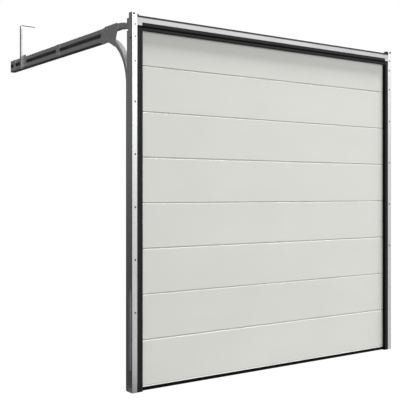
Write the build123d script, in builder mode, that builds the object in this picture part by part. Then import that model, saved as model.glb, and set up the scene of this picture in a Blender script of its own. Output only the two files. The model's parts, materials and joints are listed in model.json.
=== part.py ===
from build123d import *
import math
import os

# Sectional garage door: a folded steel frame, a leaf of four insulated sections, a double
# horizontal track on each side, tension springs in the posts and a spring bolt on the inside.
#
# Millimetres. X runs along the wall, Y into the garage and Z up from the floor. The origin is on
# the front face of the left post, on its line of wall screws, at the floor.

os.makedirs("parts", exist_ok=True)

# Opening and frame
clear_width = 2040
clear_height = 2065
flange_width = 34
seal_width = 38
screw_line = 20
post_head = 24
post_depth = 60
post_sheet = 2
post_bend = 2
seal_seat_depth = 10
seal_seat_width = 26
seat_gap = 0.3

# Holes for the wall screws: heights above the floor, and rises from the clear height
screw_hole_radius = 4
first_screw_height = 455
screw_pitch = 300
screw_count = 5
head_screw_rises = (-180, -41, 28)
hook_hole_radius = 5.5
hook_hole_inset = 12
hook_hole_drop = 11
web_hole_radius = 4.5
web_hole_depth = 22
web_hole_drop = 47

# Window in the post's side, through which the spring shows
window_front = 15
window_width = 24
window_bottom = 12
window_top = 585
web_tongue_drop = 2
web_tongue_back = 38
web_shoulder_drop = 31
web_notch_front = 45
web_notch_height = 44

# Rubber seals
seal_front = 0.8
side_seal_reach = 26
lintel_seal_height = 44
seal_groove = 3
seal_lip_chamfer = 1
bottom_seal_height = 22
bottom_seal_corner = 7
bottom_seal_wall = 3.5

# Lintel
lintel_band = 32
lintel_return = 14
lintel_sheet = 2
lintel_tab_width = 32
head_strip_height = 6
head_strip_depth = 10

# Leaf
section_count = 4
leaf_overlap = 62.5
section_thickness = 40
section_gap = 0.5
leaf_front = 17
leaf_bottom = 27.5
leaf_edge_gap = 52
groove_half_height = 5
groove_depth = 4.5
groove_floor = 1.2
inner_groove_depth = 2.5
inner_groove_half_height = 3.5
edge_chamfer = 4
tongue_inset = 11
tongue_rise = 9
end_cap_sheet = 1.5
rail_height = 5.5

# Tracks
track_sheet = 1.5
track_width = 30
track_depth = 35
track_lip = 5
track_bend = 7
lip_bend = 2
track_centre_depth = 64.5
notch_play = 2
vertical_track_top = 1373
bend_radius = 305
horizontal_end = 1790
double_track_channel = 34
lower_track_drop = 6.5
track_pitch = 51.5
end_cap_thickness = 3
arm_channel = 36
arm_front_depth = 46
arm_bend_depth = 190
arm_bend_radius = 422
arm_ear_back = 62
arm_ear_drop = 31
plate_front_top = 166
plate_front_bottom = 208
plate_back = 374
plate_back_top = 323
plate_rise = 3
joint_strap_depth = 974
joint_strap_width = 54
end_strap_depth = 1713
end_strap_width = 44

# Hangers
hanger_depth = 1562
hanger_rise = 229
hanger_tail = 4
hanger_sheet = 2
hanger_front_leg = 11
hanger_side_leg = 18
hanger_foot = 114
hanger_bend = 12
bracket_length = 62
bracket_drop = 6.5
bracket_rise = 26

# Rollers and the carriers that hold them
roller_radius = 12.75
roller_width = 13
roller_web_gap = 4
roller_edge = 1
roller_hub = 2
axle_radius = 4.5
axle_play = 0.08
axle_inner = 104
carrier_sheet = 2
carrier_width = 50
carrier_height = 92
carrier_edge = 56
barrel_radius = 7.2
bottom_roller_height = 82
hinge_width = 60
hinge_spread = 360
knuckle_radius = 6

# Springs, pulleys and cables
spring_inset = 14
spring_depth = 27
spring_radius = 9.5
spring_wire = 3.2
spring_bottom = 125
spring_top = 1250
cable_radius = 1.5
cable_inset = 46
cable_stud_height = 60
cable_stud_radius = 3
pulley_drop = 21
pulley_radius = 19.2
pulley_width = 10
pulley_axle_radius = 4
pulley_axle_tail = 4
pulley_rim = 1.5
pulley_groove_floor = 1.2
housing_inner = 60
housing_height = 36
housing_corner = 26
housing_sheet = 2
anchor_width = 16
anchor_height = 82
anchor_pitch = 14
anchor_holes = 5
anchor_hole_radius = 3.5
anchor_pin_radius = 2.5

# Spring bolt on the inside of the leaf
bolt_height = 800
bolt_axis = 22
bolt_radius = 6.25
tip_chamfer = 1.5
bracket_span = 103
bracket_sheet = 2.5
bracket_breadth = 42
bracket_hole_radius = 2.75
bracket_hole_spacing = 73
bracket_hole_rise = 30
ear_height = 40
rod_radius = 5
rod_reach = 103
handle_angle = 60
handle_straight = 30
handle_bend = 18
bolt_tip_reach = 38
washer_inset = 25
washer_sheet = 2.5
washer_radius = 11
cotter_radius = 1.6
nub_inset = 20
nub_radius = 2
nub_rise = 5
key_slot_play = 0.8
coil_radius = 8
coil_wire = 1.1
coil_turns = 9
coil_wire_sides = 6
knob_length = 62
knob_radius = 20
knob_neck_radius = 8
bolt_play = 0.1

# How far a cut runs past the face that it starts from
cut_margin = 2

# Places worked out from the sizes above
side_seal_height = clear_height + side_seal_reach
outer = -screw_line
flange_edge = outer + flange_width
seal_edge = flange_edge + seal_width
middle = outer + flange_width + seal_width + clear_width / 2
leaf_edge = outer + leaf_edge_gap
leaf_width = 2 * (middle - leaf_edge)
leaf_back = leaf_front + section_thickness
leaf_top = clear_height + leaf_overlap
section_height = (leaf_top - leaf_bottom) / section_count
lintel_bottom = clear_height + lintel_seal_height
lintel_top = lintel_bottom + lintel_band
post_height = lintel_top + post_head
pulley_height = post_height - pulley_drop
track_x = outer + post_sheet + seat_gap
lower_track_height = clear_height - lower_track_drop
upper_track_height = lower_track_height + track_pitch
bend_centre_depth = track_centre_depth + bend_radius
bend_centre_height = lower_track_height - bend_radius
strap_x = track_x - seat_gap - track_sheet
channel_bottom = lower_track_height - double_track_channel / 2
channel_top = upper_track_height + double_track_channel / 2
bracket_bottom = lower_track_height - bracket_drop
bracket_top = upper_track_height + bracket_rise
hanger_bottom = channel_bottom - hanger_tail
hanger_top = channel_top + hanger_rise
arm_turn = math.degrees(math.asin((arm_bend_depth - arm_front_depth) / arm_bend_radius))
arm_end_height = upper_track_height - arm_bend_radius * (1 - math.cos(math.radians(arm_turn)))
joint_heights = [leaf_bottom + n * section_height for n in range(1, section_count)]
roller_x = track_x + track_sheet + roller_web_gap
door_middle = Plane.YZ.offset(middle)


def save(piece, name):
    """Label a finished piece and write it."""
    piece.part.label = name
    export_step(piece.part, f"parts/{name}.step")


def save_pair(piece, name):
    """Write the left piece, and its mirror image for the right side."""
    save(piece, f"left_{name}")
    with BuildPart() as right_piece:
        mirror(piece.part, about=door_middle)
    save(right_piece, f"right_{name}")


# Posts: a side web, a front flange against the wall, and a step back that carries the seal
with BuildPart() as left_post:
    with BuildSketch():
        with BuildLine():
            FilletPolyline(
                (outer, post_depth),
                (outer, 0),
                (flange_edge, 0),
                (flange_edge, seal_seat_depth),
                (flange_edge + seal_seat_width, seal_seat_depth),
                radius=post_bend,
            )
            offset(amount=post_sheet, side=Side.LEFT)
        make_face()
    extrude(amount=post_height)
    with BuildSketch(Plane.YZ.offset(outer - cut_margin)):
        with Locations((window_front + window_width / 2, (window_bottom + window_top) / 2)):
            SlotOverall(window_top - window_bottom, window_width, rotation=90)
        with Locations((post_bend, post_height - web_tongue_drop)):
            Rectangle(post_depth, post_height, align=(Align.MIN, Align.MIN))
        with Locations((web_tongue_back, post_height - web_shoulder_drop)):
            Rectangle(post_depth, post_height, align=(Align.MIN, Align.MIN))
        with Locations((web_notch_front, arm_end_height)):
            Rectangle(post_depth, web_notch_height, align=(Align.MIN, Align.CENTER))
        with Locations((web_hole_depth, clear_height - web_hole_drop)):
            Circle(web_hole_radius)
    extrude(amount=post_sheet + 2 * cut_margin, mode=Mode.SUBTRACT)
    with BuildSketch(Plane.XY.offset(side_seal_height)):
        with Locations((flange_edge - post_bend, -cut_margin)):
            Rectangle(seal_width, post_depth, align=(Align.MIN, Align.MIN))
    extrude(amount=post_height, mode=Mode.SUBTRACT)
    with BuildSketch(Plane.XZ.offset(cut_margin)):
        screw_heights = [first_screw_height + n * screw_pitch for n in range(screw_count)]
        screw_heights += [clear_height + rise for rise in head_screw_rises]
        with Locations(*[(0, height) for height in screw_heights]):
            Circle(screw_hole_radius)
        with Locations((outer + hook_hole_inset, post_height - hook_hole_drop)):
            Circle(hook_hole_radius)
    extrude(amount=-(post_sheet + 2 * cut_margin), mode=Mode.SUBTRACT)
save_pair(left_post, "post")

# Side seals: a rubber body clipped in front of the post's seat, with a lip against the leaf
with BuildPart() as left_side_seal:
    with BuildSketch():
        with BuildLine():
            Polyline(
                (flange_edge + seat_gap, seal_seat_depth - post_bend),
                (flange_edge + seat_gap, seal_front),
                (flange_edge + seal_width / 2 - seal_groove, seal_front),
                (flange_edge + seal_width / 2, seal_front + seal_groove / 2),
                (flange_edge + seal_width / 2 + seal_groove, seal_front),
                (seal_edge - seal_groove, seal_front),
            )
            RadiusArc(
                (seal_edge - seal_groove, seal_front),
                (seal_edge, seal_front + seal_groove),
                seal_groove,
            )
            Polyline(
                (seal_edge, seal_front + seal_groove),
                (seal_edge, leaf_front - seat_gap - seal_lip_chamfer),
                (seal_edge - seal_lip_chamfer, leaf_front - seat_gap),
                (seal_edge - 2 * seal_groove, leaf_front - seat_gap),
                (flange_edge + seal_seat_width + seat_gap, seal_seat_depth + post_sheet),
                (flange_edge + seal_seat_width + seat_gap, seal_seat_depth),
                (flange_edge + post_bend, seal_seat_depth),
                (flange_edge + seat_gap, seal_seat_depth - post_bend),
            )
        make_face()
    extrude(amount=side_seal_height - seat_gap)
save_pair(left_side_seal, "side_seal")

# Lintel: a light folded band over the leaf, with a tab at each end above the side seals
lintel_start = flange_edge - post_bend + seat_gap
with BuildPart() as lintel:
    with BuildSketch(Plane.YZ.offset(lintel_start)):
        with BuildLine():
            FilletPolyline(
                (lintel_return, lintel_bottom),
                (0, lintel_bottom),
                (0, lintel_top),
                (lintel_return, lintel_top),
                radius=post_bend,
            )
            offset(amount=lintel_sheet, side=Side.RIGHT)
        make_face()
    extrude(amount=2 * (middle - lintel_start))
    with BuildSketch(Plane.XZ):
        with Locations((middle, side_seal_height)):
            Rectangle(
                2 * (middle - lintel_start),
                lintel_bottom - side_seal_height + post_bend + lintel_sheet,
                align=(Align.CENTER, Align.MIN),
            )
            Rectangle(
                2 * (middle - flange_edge - lintel_tab_width),
                lintel_bottom - side_seal_height,
                align=(Align.CENTER, Align.MIN),
                mode=Mode.SUBTRACT,
            )
    extrude(amount=-lintel_sheet)
save(lintel, "lintel")

# Lintel seals: two lips against the leaf below the band, and a narrow strip along its top
with BuildPart() as lintel_seals:
    with BuildSketch(Plane.YZ.offset(seal_edge + seat_gap)):
        with BuildLine():
            Polyline(
                (seal_front, lintel_bottom - seat_gap),
                (seal_front, lintel_bottom - lintel_seal_height / 2 + seal_groove),
                (seal_front + 2 * seal_groove, lintel_bottom - lintel_seal_height / 2),
                (seal_front, lintel_bottom - lintel_seal_height / 2 - seal_groove),
                (seal_front, clear_height + seal_groove),
                (seal_front + seal_groove, clear_height),
                (leaf_front - seat_gap, clear_height),
                (leaf_front - seat_gap, clear_height + 3 * seal_groove),
                (lintel_return - lintel_sheet, clear_height + 5 * seal_groove),
                (lintel_return - lintel_sheet, lintel_bottom - seat_gap),
                close=True,
            )
        make_face()
    extrude(amount=2 * (middle - seal_edge - seat_gap))
    with BuildSketch(Plane.XZ.offset(-seal_front)):
        with Locations((middle, side_seal_height + seat_gap)):
            Rectangle(
                2 * (middle - flange_edge - lintel_tab_width - seat_gap),
                lintel_bottom - side_seal_height - 2 * seat_gap,
                align=(Align.CENTER, Align.MIN),
            )
            Rectangle(
                2 * (middle - seal_edge - 2 * seat_gap),
                lintel_bottom - side_seal_height,
                align=(Align.CENTER, Align.MIN),
                mode=Mode.SUBTRACT,
            )
    extrude(amount=seal_front - lintel_return + lintel_sheet)
    with BuildSketch(Plane.YZ.offset(lintel_start)):
        with Locations((lintel_sheet, lintel_top)):
            Rectangle(head_strip_depth, head_strip_height, align=(Align.MIN, Align.MIN))
    extrude(amount=2 * (middle - lintel_start))
save(lintel_seals, "lintel_seals")

# Leaf sections: grooved skins over foam, with a rounded tongue on top and a hollow below
section_names = ("bottom_section", "lower_middle_section", "upper_middle_section", "top_section")
for number, section_name in enumerate(section_names):
    base = leaf_bottom + number * section_height
    head = base + section_height - section_gap
    groove_centre = base + section_height / 2
    hollow = 0 if number == 0 else tongue_rise
    tongue = 0 if number == section_count - 1 else tongue_rise
    with BuildPart() as section:
        with BuildSketch(Plane.YZ.offset(leaf_edge)):
            with BuildLine():
                Polyline(
                    (leaf_front + edge_chamfer, base),
                    (leaf_front, base + edge_chamfer),
                    (leaf_front, groove_centre - groove_half_height),
                    (leaf_front + groove_depth, groove_centre - groove_floor),
                    (leaf_front + groove_depth, groove_centre + groove_floor),
                    (leaf_front, groove_centre + groove_half_height),
                    (leaf_front, head - edge_chamfer),
                    (leaf_front + edge_chamfer, head),
                    (leaf_front + tongue_inset, head),
                )
                if tongue:
                    ThreePointArc(
                        (leaf_front + tongue_inset, head),
                        ((leaf_front + leaf_back) / 2, head + tongue),
                        (leaf_back - tongue_inset, head),
                    )
                else:
                    Line((leaf_front + tongue_inset, head), (leaf_back - tongue_inset, head))
                Polyline(
                    (leaf_back - tongue_inset, head),
                    (leaf_back, head),
                    (leaf_back, groove_centre + inner_groove_half_height),
                    (leaf_back - inner_groove_depth, groove_centre + groove_floor),
                    (leaf_back - inner_groove_depth, groove_centre - groove_floor),
                    (leaf_back, groove_centre - inner_groove_half_height),
                    (leaf_back, base),
                    (leaf_back - tongue_inset + section_gap, base),
                )
                if hollow:
                    ThreePointArc(
                        (leaf_back - tongue_inset + section_gap, base),
                        ((leaf_front + leaf_back) / 2, base + hollow),
                        (leaf_front + tongue_inset - section_gap, base),
                    )
                else:
                    Line(
                        (leaf_back - tongue_inset + section_gap, base),
                        (leaf_front + tongue_inset - section_gap, base),
                    )
                Line(
                    (leaf_front + tongue_inset - section_gap, base),
                    (leaf_front + edge_chamfer, base),
                )
            make_face()
        extrude(amount=leaf_width)
    save(section, section_name)

# End caps: steel pressings over the ends of the sections
with BuildPart() as end_caps:
    for number in range(section_count):
        base = leaf_bottom + number * section_height
        with BuildSketch(Plane.YZ.offset(leaf_edge - end_cap_sheet)):
            with Locations(((leaf_front + leaf_back) / 2, base + section_height / 2)):
                RectangleRounded(
                    section_thickness - 2 * seat_gap,
                    section_height - 2 * section_gap - end_cap_sheet,
                    edge_chamfer,
                )
        extrude(amount=end_cap_sheet)
    mirror(about=door_middle)
save(end_caps, "end_caps")

# Bottom rail and bottom seal
with BuildPart() as bottom_rail:
    with BuildSketch(Plane.YZ.offset(leaf_edge)):
        with Locations(((leaf_front + leaf_back) / 2, leaf_bottom)):
            Rectangle(section_thickness, rail_height, align=(Align.CENTER, Align.MAX))
    extrude(amount=leaf_width)
save(bottom_rail, "bottom_rail")

with BuildPart() as bottom_seal:
    seal_middle = (leaf_front + leaf_back) / 2
    with BuildSketch(Plane.YZ.offset(leaf_edge)):
        with Locations((seal_middle, bottom_seal_height / 2)):
            RectangleRounded(section_thickness, bottom_seal_height, bottom_seal_corner)
            SlotOverall(
                section_thickness - 2 * bottom_seal_wall,
                bottom_seal_height - 2 * bottom_seal_wall,
                mode=Mode.SUBTRACT,
            )
    extrude(amount=leaf_width)
save(bottom_seal, "bottom_seal")


def channel_section(plane, width):
    """Track section with its web on the plane's Y axis and its lips at the ends of its legs."""
    half = width / 2
    with BuildSketch(plane) as section:
        with BuildLine():
            FilletPolyline(
                (track_depth, half - track_lip),
                (track_depth, half),
                (0, half),
                (0, -half),
                (track_depth, -half),
                (track_depth, track_lip - half),
                radius=(lip_bend, track_bend, track_bend, lip_bend),
            )
            offset(amount=track_sheet, side=Side.LEFT)
        make_face()
    return section.sketch


# Vertical tracks behind the posts, each with a notch that can take the spring bolt
bolt_depth = leaf_back + bolt_axis
with BuildPart() as left_vertical_track:
    foot = Plane(origin=(track_x, track_centre_depth, seat_gap), x_dir=(1, 0, 0), z_dir=(0, 0, 1))
    extrude(channel_section(foot, track_width), amount=vertical_track_top - 2 * seat_gap)
    with BuildSketch(Plane.YZ.offset(track_x + track_depth)):
        with Locations((bolt_depth, bolt_height)):
            SlotOverall(track_width + 2 * notch_play, 2 * (bolt_radius + notch_play))
    extrude(amount=roller_width - track_depth, mode=Mode.SUBTRACT)
save_pair(left_vertical_track, "vertical_track")

# Curved tracks: a straight tail in the post and a quarter turn to the horizontal track
with BuildPart() as left_curved_track:
    tail = Plane(
        origin=(track_x, track_centre_depth, vertical_track_top),
        x_dir=(1, 0, 0),
        z_dir=(0, 0, 1),
    )
    extrude(channel_section(tail, track_width), amount=bend_centre_height - vertical_track_top)
    turn_start = tail.offset(bend_centre_height - vertical_track_top)
    revolve(
        channel_section(turn_start, track_width),
        axis=Axis((0, bend_centre_depth, bend_centre_height), (-1, 0, 0)),
        revolution_arc=90,
    )
save_pair(left_curved_track, "curved_track")

# Upper arms: the front stretch of the upper track, which dips to the post, and its ear
with BuildPart() as left_upper_arm:
    arm_start = Plane(
        origin=(track_x, arm_bend_depth, upper_track_height), x_dir=(1, 0, 0), z_dir=(0, 1, 0)
    )
    extrude(
        channel_section(arm_start, arm_channel),
        amount=bend_centre_depth - arm_bend_depth - seat_gap,
    )
    revolve(
        channel_section(arm_start, arm_channel),
        axis=Axis((0, arm_bend_depth, upper_track_height - arm_bend_radius), (1, 0, 0)),
        revolution_arc=arm_turn,
    )
    with BuildSketch(Plane.YZ.offset(track_x)):
        with Locations((arm_ear_back, post_height - arm_ear_drop)):
            Rectangle(
                arm_ear_back - arm_front_depth,
                post_height - arm_ear_drop - arm_end_height,
                align=(Align.MAX, Align.MAX),
            )
    extrude(amount=track_sheet)
save_pair(left_upper_arm, "upper_arm")

# Gusset plates: they tie the arm, the curve and the horizontal track together
with BuildPart() as left_gusset_plate:
    lower_edge = bend_radius - track_width / 2
    foot_run = bend_centre_depth - plate_front_bottom
    foot_height = bend_centre_height + (lower_edge**2 - foot_run**2) ** 0.5
    crown_height = bend_centre_height + lower_edge
    plate_top = channel_top + plate_rise
    with BuildSketch(Plane.YZ.offset(strap_x)):
        with BuildLine():
            RadiusArc(
                (plate_front_bottom, foot_height), (bend_centre_depth, crown_height), lower_edge
            )
            Polyline(
                (bend_centre_depth, crown_height),
                (plate_back, crown_height),
                (plate_back, lower_track_height + track_pitch / 2),
                (plate_back_top, plate_top),
                (plate_front_top + edge_chamfer, plate_top),
                (plate_front_top, plate_top - edge_chamfer),
                (plate_front_top, upper_track_height - arm_channel / 2),
                (plate_front_bottom, foot_height),
            )
        make_face()
    extrude(amount=track_sheet)
save_pair(left_gusset_plate, "gusset_plate")

# Horizontal tracks: two roller channels, one over the other, joined by a recessed web
with BuildPart() as left_horizontal_track:
    run = horizontal_end - end_cap_thickness - bend_centre_depth - 2 * seat_gap
    for height in (lower_track_height, upper_track_height):
        start = Plane(
            origin=(track_x, bend_centre_depth + seat_gap, height), x_dir=(1, 0, 0), z_dir=(0, 1, 0)
        )
        extrude(channel_section(start, double_track_channel), amount=run)
    gap_bottom = lower_track_height + double_track_channel / 2 - track_sheet / 2
    gap_top = upper_track_height - double_track_channel / 2 + track_sheet / 2
    with BuildSketch(Plane.XZ.offset(-bend_centre_depth - seat_gap)):
        with Locations((track_x + track_depth, gap_bottom)):
            Rectangle(track_sheet, gap_top - gap_bottom, align=(Align.MAX, Align.MIN))
    extrude(amount=-run)
save_pair(left_horizontal_track, "horizontal_track")

# Track end caps: plastic covers over the open ends of the double tracks
with BuildPart() as track_end_caps:
    with BuildSketch(Plane.XZ.offset(-horizontal_end)):
        with Locations((track_x, channel_bottom)):
            RectangleRounded(
                track_depth, channel_top - channel_bottom, lip_bend, align=(Align.MIN, Align.MIN)
            )
    extrude(amount=end_cap_thickness)
    mirror(about=door_middle)
save(track_end_caps, "track_end_caps")

# Track straps: the joint plate, the end plate and the bracket that the hanger is bolted to
with BuildPart() as left_track_straps:
    strap_middle = (lower_track_height + upper_track_height) / 2
    strap_height = track_pitch + track_width
    with BuildSketch(Plane.YZ.offset(strap_x)):
        with Locations((joint_strap_depth, strap_middle)):
            RectangleRounded(joint_strap_width, strap_height, edge_chamfer)
        with Locations((end_strap_depth, strap_middle)):
            RectangleRounded(end_strap_width, strap_height, edge_chamfer)
        with Locations((hanger_depth - seat_gap, bracket_bottom)):
            Rectangle(
                bracket_length, bracket_top - bracket_bottom, align=(Align.MAX, Align.MIN)
            )
    extrude(amount=track_sheet)
    with BuildSketch(Plane.XZ.offset(-hanger_depth + seat_gap)):
        with Locations((strap_x, bracket_bottom)):
            Rectangle(
                hanger_front_leg, bracket_top - bracket_bottom, align=(Align.MAX, Align.MIN)
            )
    extrude(amount=track_sheet)
save_pair(left_track_straps, "track_straps")

# Hangers: an angle up from the track, with its side leg bent over as a foot for the ceiling
with BuildPart() as left_hanger:
    hanger_outer = outer - hanger_front_leg
    with BuildSketch(Plane.XY.offset(hanger_bottom)):
        with BuildLine():
            FilletPolyline(
                (outer - seat_gap, hanger_depth),
                (hanger_outer - hanger_sheet, hanger_depth),
                (hanger_outer - hanger_sheet, hanger_depth + hanger_side_leg),
                radius=post_bend,
            )
            offset(amount=hanger_sheet, side=Side.RIGHT)
        make_face()
    extrude(amount=hanger_top - hanger_bottom - 2 * hanger_bend)
    with BuildSketch(Plane.XZ.offset(-hanger_depth)):
        with BuildLine():
            FilletPolyline(
                (hanger_outer - hanger_sheet, hanger_top - 2 * hanger_bend - 1),
                (hanger_outer - hanger_sheet, hanger_top),
                (hanger_outer - hanger_sheet + hanger_foot, hanger_top),
                radius=hanger_bend,
            )
            offset(amount=hanger_sheet, side=Side.RIGHT)
        make_face()
    extrude(amount=-hanger_side_leg)
save_pair(left_hanger, "hanger")

# Roller carriers: plates on the back of the leaf with a barrel for each roller's axle
top_roller_run = arm_bend_depth - track_centre_depth
top_roller_height = (
    upper_track_height - arm_bend_radius + (arm_bend_radius**2 - top_roller_run**2) ** 0.5
)
roller_heights = (bottom_roller_height, *joint_heights, top_roller_height)
with BuildPart() as left_roller_carriers:
    for height in roller_heights:
        plate_middle = height
        if height == top_roller_height:
            plate_middle = leaf_top - carrier_height / 2 - edge_chamfer
        with BuildSketch(Plane.XZ.offset(-leaf_back)):
            with Locations((outer + carrier_edge, plate_middle)):
                RectangleRounded(
                    carrier_width, carrier_height, edge_chamfer, align=(Align.MIN, Align.CENTER)
                )
        extrude(amount=-carrier_sheet)
        with BuildSketch(Plane.YZ.offset(outer + carrier_edge)):
            with Locations((track_centre_depth, height)):
                Circle(barrel_radius)
        extrude(amount=carrier_width - edge_chamfer)
        with BuildSketch(Plane.YZ.offset(outer + carrier_edge - cut_margin)):
            with Locations((track_centre_depth, height)):
                Circle(axle_radius + axle_play)
            with Locations((leaf_back, height)):
                Rectangle(barrel_radius, 4 * barrel_radius, align=(Align.MAX, Align.CENTER))
        extrude(amount=carrier_width + 2 * cut_margin, mode=Mode.SUBTRACT)
    with BuildSketch(Plane.YZ.offset(leaf_edge - end_cap_sheet)):
        with Locations((leaf_back, leaf_bottom + edge_chamfer)):
            Rectangle(
                section_thickness - edge_chamfer,
                carrier_height,
                align=(Align.MAX, Align.MIN),
            )
        with Locations((leaf_back, bottom_roller_height - carrier_height / 2)):
            Rectangle(carrier_sheet, carrier_height - edge_chamfer, align=(Align.MIN, Align.MIN))
    extrude(amount=-carrier_sheet)
    with BuildSketch(Plane.XZ.offset(-leaf_back)):
        with Locations((leaf_edge - end_cap_sheet - carrier_sheet, bottom_roller_height)):
            Rectangle(
                carrier_width / 2,
                carrier_height / 2,
                align=(Align.MIN, Align.CENTER),
            )
    extrude(amount=-carrier_sheet)
    with BuildSketch(Plane.YZ.offset(leaf_edge - end_cap_sheet - carrier_sheet)):
        with Locations((spring_depth, cable_stud_height)):
            Circle(cable_stud_radius)
    extrude(amount=-(leaf_edge - end_cap_sheet - carrier_sheet - outer - cable_inset) + cable_radius)
save_pair(left_roller_carriers, "roller_carriers")

# Rollers: a grooved wheel in the track on an axle that reaches into its carrier
with BuildPart() as left_rollers:
    for height in roller_heights:
        with BuildSketch(Plane.XY.offset(height)):
            with BuildLine():
                Polyline(
                    (roller_x, track_centre_depth),
                    (roller_x, track_centre_depth + roller_radius - roller_edge),
                    (roller_x + roller_edge, track_centre_depth + roller_radius),
                    (roller_x + roller_width - roller_edge, track_centre_depth + roller_radius),
                    (roller_x + roller_width, track_centre_depth + roller_radius - roller_edge),
                    (roller_x + roller_width, track_centre_depth + barrel_radius),
                    (roller_x + roller_width + roller_hub, track_centre_depth + barrel_radius - roller_edge),
                    (roller_x + roller_width + roller_hub, track_centre_depth + axle_radius),
                    (outer + axle_inner, track_centre_depth + axle_radius),
                    (outer + axle_inner, track_centre_depth),
                    close=True,
                )
            make_face()
        revolve(axis=Axis((0, track_centre_depth, height), (1, 0, 0)))
save_pair(left_rollers, "rollers")

# Middle hinges: plates on both sections with a knuckle at the joint
with BuildPart() as middle_hinges:
    for height in joint_heights:
        with BuildSketch(Plane.XZ.offset(-leaf_back)):
            with Locations((middle, height)):
                with GridLocations(2 * hinge_spread, 0, 2, 1):
                    RectangleRounded(hinge_width, carrier_height, edge_chamfer)
        extrude(amount=-carrier_sheet)
        with BuildSketch(Plane.YZ.offset(middle - hinge_spread - hinge_width / 2)):
            with Locations((leaf_back + knuckle_radius, height)):
                Circle(knuckle_radius)
        extrude(amount=hinge_width)
        with BuildSketch(Plane.YZ.offset(middle + hinge_spread - hinge_width / 2)):
            with Locations((leaf_back + knuckle_radius, height)):
                Circle(knuckle_radius)
        extrude(amount=hinge_width)
save(middle_hinges, "middle_hinges")

# Tension springs: the coil's tube with a loop at each end, inside the post
spring_x = outer + spring_inset
loop_rise = spring_radius - spring_wire
with BuildPart() as left_spring:
    with BuildSketch(Plane.XY.offset(spring_bottom)):
        with Locations((spring_x, spring_depth)):
            Circle(spring_radius)
            Circle(spring_radius - spring_wire, mode=Mode.SUBTRACT)
    extrude(amount=spring_top - spring_bottom)
    with BuildSketch(Plane.XZ.offset(-spring_depth + spring_wire / 2)):
        with Locations((spring_x, spring_top + loop_rise)):
            Circle(spring_radius)
            Circle(spring_radius - spring_wire, mode=Mode.SUBTRACT)
    extrude(amount=-spring_wire)
    with BuildSketch(Plane.YZ.offset(spring_x - spring_wire / 2)):
        with Locations((spring_depth, spring_bottom - loop_rise)):
            Circle(spring_radius)
            Circle(spring_radius - spring_wire, mode=Mode.SUBTRACT)
    extrude(amount=spring_wire)
save_pair(left_spring, "spring")

# Spring anchors: a punched strip in each window, with the pin that holds the spring
with BuildPart() as spring_anchors:
    pin_height = spring_bottom - 2 * loop_rise + anchor_pin_radius + seat_gap
    with BuildSketch(Plane.YZ.offset(outer + post_sheet + seat_gap)):
        with Locations((spring_depth, window_bottom / 2)):
            Rectangle(anchor_width, pin_height, align=(Align.CENTER, Align.MIN))
            Rectangle(window_width + anchor_width, window_bottom, align=(Align.CENTER, Align.MIN))
        with Locations((spring_depth, window_bottom / 2 + anchor_height / 2)):
            with GridLocations(0, anchor_pitch, 1, anchor_holes):
                Circle(anchor_hole_radius, mode=Mode.SUBTRACT)
    extrude(amount=carrier_sheet)
    with BuildSketch(Plane.YZ.offset(outer + post_sheet + seat_gap)):
        with Locations((spring_depth, pin_height)):
            Circle(anchor_pin_radius)
    extrude(amount=spring_inset - post_sheet + spring_wire)
    mirror(about=door_middle)
save(spring_anchors, "spring_anchors")

# Pulleys at the heads of the posts, each with its housing plate and axle
with BuildPart() as left_pulley:
    pulley_x = outer + (spring_inset + cable_inset) / 2
    cable_turn = (cable_inset - spring_inset) / 2
    housing_depth = spring_depth - pulley_width / 2 - seat_gap - housing_sheet
    with BuildSketch(Plane.XZ.offset(-housing_depth)):
        with Locations((outer + post_sheet + seat_gap, post_height)):
            Rectangle(
                housing_inner - post_sheet - seat_gap,
                housing_height,
                align=(Align.MIN, Align.MAX),
            )
        inner_top = vertices().group_by(Axis.Z)[-1].sort_by(Axis.X)[-1]
        fillet(inner_top, housing_corner)
    extrude(amount=-housing_sheet)
    with BuildSketch(Plane.XZ.offset(-housing_depth)):
        with Locations((pulley_x, pulley_height)):
            Circle(pulley_axle_radius)
    extrude(amount=-(housing_sheet + pulley_width + 2 * seat_gap + pulley_axle_tail))
    with BuildSketch(Plane.XY.offset(pulley_height)):
        with BuildLine():
            groove = cable_turn - cable_radius - seat_gap / 2
            front = spring_depth - pulley_width / 2
            back = spring_depth + pulley_width / 2
            Polyline(
                (pulley_x + pulley_axle_radius + axle_play, front),
                (pulley_x + pulley_radius, front),
                (pulley_x + pulley_radius, front + pulley_rim),
                (pulley_x + groove, spring_depth - pulley_groove_floor),
                (pulley_x + groove, spring_depth + pulley_groove_floor),
                (pulley_x + pulley_radius, back - pulley_rim),
                (pulley_x + pulley_radius, back),
                (pulley_x + pulley_axle_radius + axle_play, back),
                close=True,
            )
        make_face()
    revolve(axis=Axis((pulley_x, 0, pulley_height), (0, 1, 0)))
save_pair(left_pulley, "pulley")

# Lift cables: from the bottom carrier over the pulley to the top of the spring
with BuildPart() as left_cable:
    loop_top = spring_top + loop_rise + spring_radius + seat_gap
    cable_foot = cable_stud_height + cable_stud_radius + seat_gap
    with BuildLine(Plane.XZ.offset(-spring_depth)):
        Line((outer + cable_inset, cable_foot), (outer + cable_inset, pulley_height))
        RadiusArc(
            (outer + cable_inset, pulley_height),
            (outer + spring_inset, pulley_height),
            -cable_turn,
        )
        Line((outer + spring_inset, pulley_height), (outer + spring_inset, loop_top))
    with BuildSketch(Plane.XY.offset(cable_foot)):
        with Locations((outer + cable_inset, spring_depth)):
            Circle(cable_radius)
    sweep()
save_pair(left_cable, "lift_cable")

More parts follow.
